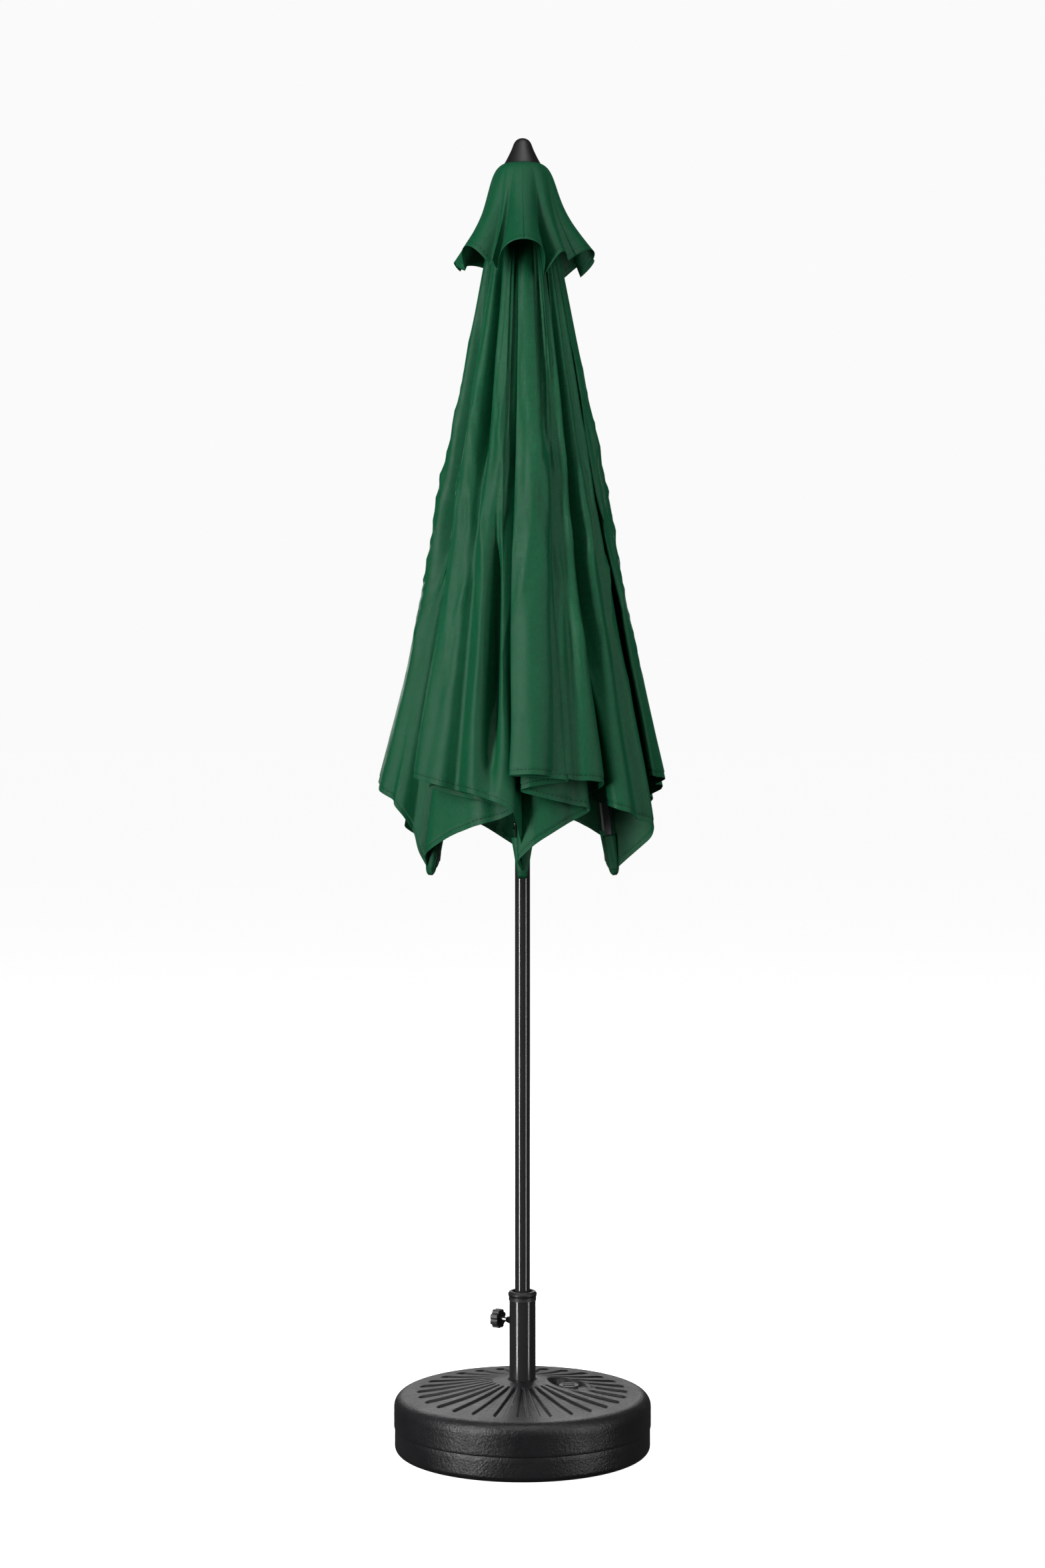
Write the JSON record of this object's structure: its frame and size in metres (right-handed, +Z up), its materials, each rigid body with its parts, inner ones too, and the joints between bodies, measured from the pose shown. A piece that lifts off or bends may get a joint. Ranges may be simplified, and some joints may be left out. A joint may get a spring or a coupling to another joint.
{
  "type": "patio umbrella with base",
  "caption": "Furled push-up patio umbrella with ribs, struts and a sliding runner under a vented green canopy, on a black pole in a round fillable base.",
  "frame": {"origin": "on the ground, at the centre of the base, on the pole's axis", "axes": "+Z up the pole; the front rib and the front of the umbrella face -Y; +X to the right from the front"},
  "size_m": [0.5038, 0.5012, 2.441],
  "materials": {
    "tank_plastic": "textured blow-moulded polyethylene, satin",
    "sand": "dry sand",
    "stem_paint": "black powder coat, satin",
    "black_plastic": "black moulded plastic, semi-matte",
    "release_plastic": "black moulded plastic, polished by use",
    "zinc_steel": "zinc-plated steel",
    "pole_paint": "black powder coat, satin",
    "frame_paint": "dark grey powder coat, satin",
    "canopy_fabric": "dark green woven polyester, soft sheen"
  },
  "bodies": {
    "base": {"base_shell": "tank_plastic", "ballast_fill": "sand", "base_stem": "stem_paint", "stem_collar": "black_plastic", "clamp_nut": "stem_paint"},
    "clamp_bolt": {"clamp_bolt": "zinc_steel"},
    "clamp_knob": {"clamp_knob": "black_plastic"},
    "filler_plug": {"filler_plug": "black_plastic"},
    "pole_plug": {"pole_end_plug": "black_plastic"},
    "mast": {"lower_pole": "pole_paint", "upper_pole": "pole_paint", "pole_button": "zinc_steel", "hub": "black_plastic", "hub_pins": "zinc_steel", "finial": "black_plastic", "finial_stud": "zinc_steel"},
    "runner": {"runner": "black_plastic", "runner_pins": "zinc_steel"},
    "runner_button": {"runner_button": "release_plastic"},
    "rib_1": {"rib_1": "frame_paint", "strut_bracket_1": "zinc_steel", "rib_tip_1": "black_plastic"},
    "strut_1": {"strut_1": "frame_paint"},
    "gore_1": {"canopy_gore_1": "canopy_fabric", "vent_flap_1": "canopy_fabric"},
    "rib_2": {"rib_2": "frame_paint", "strut_bracket_2": "zinc_steel", "rib_tip_2": "black_plastic"},
    "strut_2": {"strut_2": "frame_paint"},
    "gore_2": {"canopy_gore_2": "canopy_fabric", "vent_flap_2": "canopy_fabric"},
    "rib_3": {"rib_3": "frame_paint", "strut_bracket_3": "zinc_steel", "rib_tip_3": "black_plastic"},
    "strut_3": {"strut_3": "frame_paint"},
    "gore_3": {"canopy_gore_3": "canopy_fabric", "vent_flap_3": "canopy_fabric"},
    "rib_4": {"rib_4": "frame_paint", "strut_bracket_4": "zinc_steel", "rib_tip_4": "black_plastic"},
    "strut_4": {"strut_4": "frame_paint"},
    "gore_4": {"canopy_gore_4": "canopy_fabric", "vent_flap_4": "canopy_fabric"},
    "rib_5": {"rib_5": "frame_paint", "strut_bracket_5": "zinc_steel", "rib_tip_5": "black_plastic"},
    "strut_5": {"strut_5": "frame_paint"},
    "gore_5": {"canopy_gore_5": "canopy_fabric", "vent_flap_5": "canopy_fabric"},
    "rib_6": {"rib_6": "frame_paint", "strut_bracket_6": "zinc_steel", "rib_tip_6": "black_plastic"},
    "strut_6": {"strut_6": "frame_paint"},
    "gore_6": {"canopy_gore_6": "canopy_fabric", "vent_flap_6": "canopy_fabric"}
  },
  "joints": [
    {"name": "clamp_screw", "type": "slide", "parent": "base", "child": "clamp_bolt", "axis": [-0.866, 0.5, 0], "range_m": [0, 0.00375]},
    {"name": "knob_turn", "type": "hinge", "parent": "clamp_bolt", "child": "clamp_knob", "pos_m": [-0.0433, 0.025, 0.239], "axis": [-0.866, 0.5, 0], "range_deg": [0, 1080]},
    {"name": "filler_plug_lift", "type": "slide", "parent": "base", "child": "filler_plug", "axis": [0, 0, 1], "range_m": [0, 0.04]},
    {"name": "pole_lift", "type": "slide", "parent": "base", "child": "pole_plug", "axis": [0, 0, 1], "range_m": [0, 0.28]},
    {"name": "pole_turn", "type": "hinge", "parent": "pole_plug", "child": "mast", "pos_m": [0, 0, 0.1], "axis": [0, 0, 1], "continuous": true},
    {"name": "canopy_open", "type": "hinge", "parent": "mast", "child": "rib_1", "pos_m": [0, -0.026, 2.378], "axis": [-1, 0, 0], "range_deg": [0, 65]},
    {"name": "strut_1_swing", "type": "hinge", "parent": "rib_1", "child": "strut_1", "pos_m": [0, -0.09207, 1.86221], "axis": [-1, 0, 0], "range_deg": [-130.01, 0]},
    {"name": "gore_1_spread", "type": "hinge", "parent": "rib_1", "child": "gore_1", "pos_m": [0.0035, -0.00607, 2.3907], "axis": [0.4378, -0.7583, -0.4831], "range_deg": [0, 62.34]},
    {"name": "rib_2_swing", "type": "hinge", "parent": "mast", "child": "rib_2", "pos_m": [0.02252, -0.013, 2.378], "axis": [-0.5, -0.866, 0], "range_deg": [0, 65]},
    {"name": "strut_2_swing", "type": "hinge", "parent": "rib_2", "child": "strut_2", "pos_m": [0.07974, -0.04604, 1.86221], "axis": [-0.5, -0.866, 0], "range_deg": [-130.01, 0]},
    {"name": "gore_2_spread", "type": "hinge", "parent": "rib_2", "child": "gore_2", "pos_m": [0.00701, 0, 2.3907], "axis": [0.8756, 0, -0.4831], "range_deg": [0, 62.34]},
    {"name": "rib_3_swing", "type": "hinge", "parent": "mast", "child": "rib_3", "pos_m": [0.02252, 0.013, 2.378], "axis": [0.5, -0.866, 0], "range_deg": [0, 65]},
    {"name": "strut_3_swing", "type": "hinge", "parent": "rib_3", "child": "strut_3", "pos_m": [0.07974, 0.04604, 1.86221], "axis": [0.5, -0.866, 0], "range_deg": [-130.01, 0]},
    {"name": "gore_3_spread", "type": "hinge", "parent": "rib_3", "child": "gore_3", "pos_m": [0.0035, 0.00607, 2.3907], "axis": [0.4378, 0.7583, -0.4831], "range_deg": [0, 62.34]},
    {"name": "rib_4_swing", "type": "hinge", "parent": "mast", "child": "rib_4", "pos_m": [0, 0.026, 2.378], "axis": [1, 0, 0], "range_deg": [0, 65]},
    {"name": "strut_4_swing", "type": "hinge", "parent": "rib_4", "child": "strut_4", "pos_m": [0, 0.09207, 1.86221], "axis": [1, 0, 0], "range_deg": [-130.01, 0]},
    {"name": "gore_4_spread", "type": "hinge", "parent": "rib_4", "child": "gore_4", "pos_m": [-0.0035, 0.00607, 2.3907], "axis": [-0.4378, 0.7583, -0.4831], "range_deg": [0, 62.34]},
    {"name": "rib_5_swing", "type": "hinge", "parent": "mast", "child": "rib_5", "pos_m": [-0.02252, 0.013, 2.378], "axis": [0.5, 0.866, 0], "range_deg": [0, 65]},
    {"name": "strut_5_swing", "type": "hinge", "parent": "rib_5", "child": "strut_5", "pos_m": [-0.07974, 0.04604, 1.86221], "axis": [0.5, 0.866, 0], "range_deg": [-130.01, 0]},
    {"name": "gore_5_spread", "type": "hinge", "parent": "rib_5", "child": "gore_5", "pos_m": [-0.00701, 0, 2.3907], "axis": [-0.8756, 0, -0.4831], "range_deg": [0, 62.34]},
    {"name": "rib_6_swing", "type": "hinge", "parent": "mast", "child": "rib_6", "pos_m": [-0.02252, -0.013, 2.378], "axis": [-0.5, 0.866, 0], "range_deg": [0, 65]},
    {"name": "strut_6_swing", "type": "hinge", "parent": "rib_6", "child": "strut_6", "pos_m": [-0.07974, -0.04604, 1.86221], "axis": [-0.5, 0.866, 0], "range_deg": [-130.01, 0]},
    {"name": "gore_6_spread", "type": "hinge", "parent": "rib_6", "child": "gore_6", "pos_m": [-0.0035, -0.00607, 2.3907], "axis": [-0.4378, -0.7583, -0.4831], "range_deg": [0, 62.34]},
    {"name": "runner_slide", "type": "hinge", "parent": "strut_1", "child": "runner", "pos_m": [0, -0.026, 1.34643], "axis": [-1, 0, 0], "range_deg": [0, 65.01]},
    {"name": "button_press", "type": "slide", "parent": "runner", "child": "runner_button", "axis": [-0.5, 0.866, 0], "range_m": [0, 0.003], "stiffness_N_per_m": 400}
  ],
  "couplings": [
    {"joint": "clamp_screw", "follows": "knob_turn", "m_per_rad": 0.00019874},
    {"joint": "strut_1_swing", "follows": "canopy_open", "ratio": -2},
    {"joint": "gore_1_spread", "follows": "canopy_open", "ratio": 0.95901},
    {"joint": "rib_2_swing", "follows": "canopy_open", "ratio": 1},
    {"joint": "strut_2_swing", "follows": "canopy_open", "ratio": -2},
    {"joint": "gore_2_spread", "follows": "canopy_open", "ratio": 0.95901},
    {"joint": "rib_3_swing", "follows": "canopy_open", "ratio": 1},
    {"joint": "strut_3_swing", "follows": "canopy_open", "ratio": -2},
    {"joint": "gore_3_spread", "follows": "canopy_open", "ratio": 0.95901},
    {"joint": "rib_4_swing", "follows": "canopy_open", "ratio": 1},
    {"joint": "strut_4_swing", "follows": "canopy_open", "ratio": -2},
    {"joint": "gore_4_spread", "follows": "canopy_open", "ratio": 0.95901},
    {"joint": "rib_5_swing", "follows": "canopy_open", "ratio": 1},
    {"joint": "strut_5_swing", "follows": "canopy_open", "ratio": -2},
    {"joint": "gore_5_spread", "follows": "canopy_open", "ratio": 0.95901},
    {"joint": "rib_6_swing", "follows": "canopy_open", "ratio": 1},
    {"joint": "strut_6_swing", "follows": "canopy_open", "ratio": -2},
    {"joint": "gore_6_spread", "follows": "canopy_open", "ratio": 0.95901},
    {"joint": "runner_slide", "follows": "canopy_open", "ratio": 1}
  ]
}
